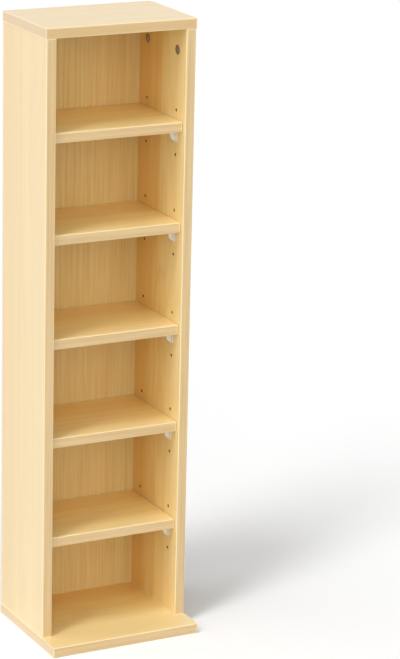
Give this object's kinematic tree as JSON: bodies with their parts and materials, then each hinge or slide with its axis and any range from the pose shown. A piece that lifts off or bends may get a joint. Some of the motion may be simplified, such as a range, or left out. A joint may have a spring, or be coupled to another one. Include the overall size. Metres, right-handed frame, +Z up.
{
  "type": "open shelf tower",
  "caption": "Tall narrow open tower for disc cases: panel sides, top, projecting base, thin back and adjustable shelves on plug-in supports.",
  "frame": {"origin": "on the floor, under the middle of the tower's overall box", "axes": "+Z up, the longest way; the open front faces -Y; +X is to the right of a person who faces the front"},
  "size_m": [0.246, 0.205, 0.965],
  "materials": {
    "board": "satin foil with a fine pale maple grain",
    "back_board": "satin foil with a fine pale maple grain",
    "support_plastic": "milky, slightly translucent moulded plastic",
    "cam_metal": "dull grey die-cast metal",
    "bolt_steel": "plain zinc plating",
    "dowel_wood": "bare beech",
    "screw_steel": "plain zinc plating"
  },
  "bodies": {
    "carcass": {"top_panel": "board", "base_panel": "board", "left_side": "board", "right_side": "board", "back_panel": "back_board", "cam_bolt_front_left": "bolt_steel", "cam_bolt_rear_left": "bolt_steel", "dowel_left": "dowel_wood", "cam_bolt_front_right": "bolt_steel", "cam_bolt_rear_right": "bolt_steel", "dowel_right": "dowel_wood", "base_screws": "screw_steel", "back_nails": "screw_steel"},
    "shelf_1": {"shelf_1": "board"},
    "shelf_2": {"shelf_2": "board"},
    "shelf_3": {"shelf_3": "board"},
    "shelf_4": {"shelf_4": "board"},
    "shelf_5": {"shelf_5": "board"},
    "support_1_front_left": {"support_1_front_left": "support_plastic"},
    "support_1_rear_left": {"support_1_rear_left": "support_plastic"},
    "support_1_front_right": {"support_1_front_right": "support_plastic"},
    "support_1_rear_right": {"support_1_rear_right": "support_plastic"},
    "support_2_front_left": {"support_2_front_left": "support_plastic"},
    "support_2_rear_left": {"support_2_rear_left": "support_plastic"},
    "support_2_front_right": {"support_2_front_right": "support_plastic"},
    "support_2_rear_right": {"support_2_rear_right": "support_plastic"},
    "support_3_front_left": {"support_3_front_left": "support_plastic"},
    "support_3_rear_left": {"support_3_rear_left": "support_plastic"},
    "support_3_front_right": {"support_3_front_right": "support_plastic"},
    "support_3_rear_right": {"support_3_rear_right": "support_plastic"},
    "support_4_front_left": {"support_4_front_left": "support_plastic"},
    "support_4_rear_left": {"support_4_rear_left": "support_plastic"},
    "support_4_front_right": {"support_4_front_right": "support_plastic"},
    "support_4_rear_right": {"support_4_rear_right": "support_plastic"},
    "support_5_front_left": {"support_5_front_left": "support_plastic"},
    "support_5_rear_left": {"support_5_rear_left": "support_plastic"},
    "support_5_front_right": {"support_5_front_right": "support_plastic"},
    "support_5_rear_right": {"support_5_rear_right": "support_plastic"},
    "cam_lock_front_left": {"cam_lock_front_left": "cam_metal"},
    "cam_lock_rear_left": {"cam_lock_rear_left": "cam_metal"},
    "cam_lock_front_right": {"cam_lock_front_right": "cam_metal"},
    "cam_lock_rear_right": {"cam_lock_rear_right": "cam_metal"}
  },
  "joints": [
    {"name": "shelf_1_draw", "type": "slide", "parent": "carcass", "child": "shelf_1", "axis": [0, -1, 0], "range_m": [0, 0.157]},
    {"name": "shelf_2_draw", "type": "slide", "parent": "carcass", "child": "shelf_2", "axis": [0, -1, 0], "range_m": [0, 0.157]},
    {"name": "shelf_3_draw", "type": "slide", "parent": "carcass", "child": "shelf_3", "axis": [0, -1, 0], "range_m": [0, 0.157]},
    {"name": "shelf_4_draw", "type": "slide", "parent": "carcass", "child": "shelf_4", "axis": [0, -1, 0], "range_m": [0, 0.157]},
    {"name": "shelf_5_draw", "type": "slide", "parent": "carcass", "child": "shelf_5", "axis": [0, -1, 0], "range_m": [0, 0.157]},
    {"name": "cam_turn_front_left", "type": "hinge", "parent": "carcass", "child": "cam_lock_front_left", "pos_m": [-0.114, -0.0275, 0.913], "axis": [1, 0, 0], "range_deg": [0, 180]},
    {"name": "cam_turn_rear_left", "type": "hinge", "parent": "carcass", "child": "cam_lock_rear_left", "pos_m": [-0.114, 0.0725, 0.913], "axis": [1, 0, 0], "range_deg": [0, 180]},
    {"name": "cam_turn_front_right", "type": "hinge", "parent": "carcass", "child": "cam_lock_front_right", "pos_m": [0.114, -0.0275, 0.913], "axis": [-1, 0, 0], "range_deg": [0, 180]},
    {"name": "cam_turn_rear_right", "type": "hinge", "parent": "carcass", "child": "cam_lock_rear_right", "pos_m": [0.114, 0.0725, 0.913], "axis": [-1, 0, 0], "range_deg": [0, 180]},
    {"name": "support_1_front_left_pull", "type": "slide", "parent": "carcass", "child": "support_1_front_left", "axis": [1, 0, 0], "range_m": [0, 0.0085]},
    {"name": "support_1_rear_left_pull", "type": "slide", "parent": "carcass", "child": "support_1_rear_left", "axis": [1, 0, 0], "range_m": [0, 0.0085]},
    {"name": "support_1_front_right_pull", "type": "slide", "parent": "carcass", "child": "support_1_front_right", "axis": [-1, 0, 0], "range_m": [0, 0.0085]},
    {"name": "support_1_rear_right_pull", "type": "slide", "parent": "carcass", "child": "support_1_rear_right", "axis": [-1, 0, 0], "range_m": [0, 0.0085]},
    {"name": "support_2_front_left_pull", "type": "slide", "parent": "carcass", "child": "support_2_front_left", "axis": [1, 0, 0], "range_m": [0, 0.0085]},
    {"name": "support_2_rear_left_pull", "type": "slide", "parent": "carcass", "child": "support_2_rear_left", "axis": [1, 0, 0], "range_m": [0, 0.0085]},
    {"name": "support_2_front_right_pull", "type": "slide", "parent": "carcass", "child": "support_2_front_right", "axis": [-1, 0, 0], "range_m": [0, 0.0085]},
    {"name": "support_2_rear_right_pull", "type": "slide", "parent": "carcass", "child": "support_2_rear_right", "axis": [-1, 0, 0], "range_m": [0, 0.0085]},
    {"name": "support_3_front_left_pull", "type": "slide", "parent": "carcass", "child": "support_3_front_left", "axis": [1, 0, 0], "range_m": [0, 0.0085]},
    {"name": "support_3_rear_left_pull", "type": "slide", "parent": "carcass", "child": "support_3_rear_left", "axis": [1, 0, 0], "range_m": [0, 0.0085]},
    {"name": "support_3_front_right_pull", "type": "slide", "parent": "carcass", "child": "support_3_front_right", "axis": [-1, 0, 0], "range_m": [0, 0.0085]},
    {"name": "support_3_rear_right_pull", "type": "slide", "parent": "carcass", "child": "support_3_rear_right", "axis": [-1, 0, 0], "range_m": [0, 0.0085]},
    {"name": "support_4_front_left_pull", "type": "slide", "parent": "carcass", "child": "support_4_front_left", "axis": [1, 0, 0], "range_m": [0, 0.0085]},
    {"name": "support_4_rear_left_pull", "type": "slide", "parent": "carcass", "child": "support_4_rear_left", "axis": [1, 0, 0], "range_m": [0, 0.0085]},
    {"name": "support_4_front_right_pull", "type": "slide", "parent": "carcass", "child": "support_4_front_right", "axis": [-1, 0, 0], "range_m": [0, 0.0085]},
    {"name": "support_4_rear_right_pull", "type": "slide", "parent": "carcass", "child": "support_4_rear_right", "axis": [-1, 0, 0], "range_m": [0, 0.0085]},
    {"name": "support_5_front_left_pull", "type": "slide", "parent": "carcass", "child": "support_5_front_left", "axis": [1, 0, 0], "range_m": [0, 0.0085]},
    {"name": "support_5_rear_left_pull", "type": "slide", "parent": "carcass", "child": "support_5_rear_left", "axis": [1, 0, 0], "range_m": [0, 0.0085]},
    {"name": "support_5_front_right_pull", "type": "slide", "parent": "carcass", "child": "support_5_front_right", "axis": [-1, 0, 0], "range_m": [0, 0.0085]},
    {"name": "support_5_rear_right_pull", "type": "slide", "parent": "carcass", "child": "support_5_rear_right", "axis": [-1, 0, 0], "range_m": [0, 0.0085]}
  ]
}
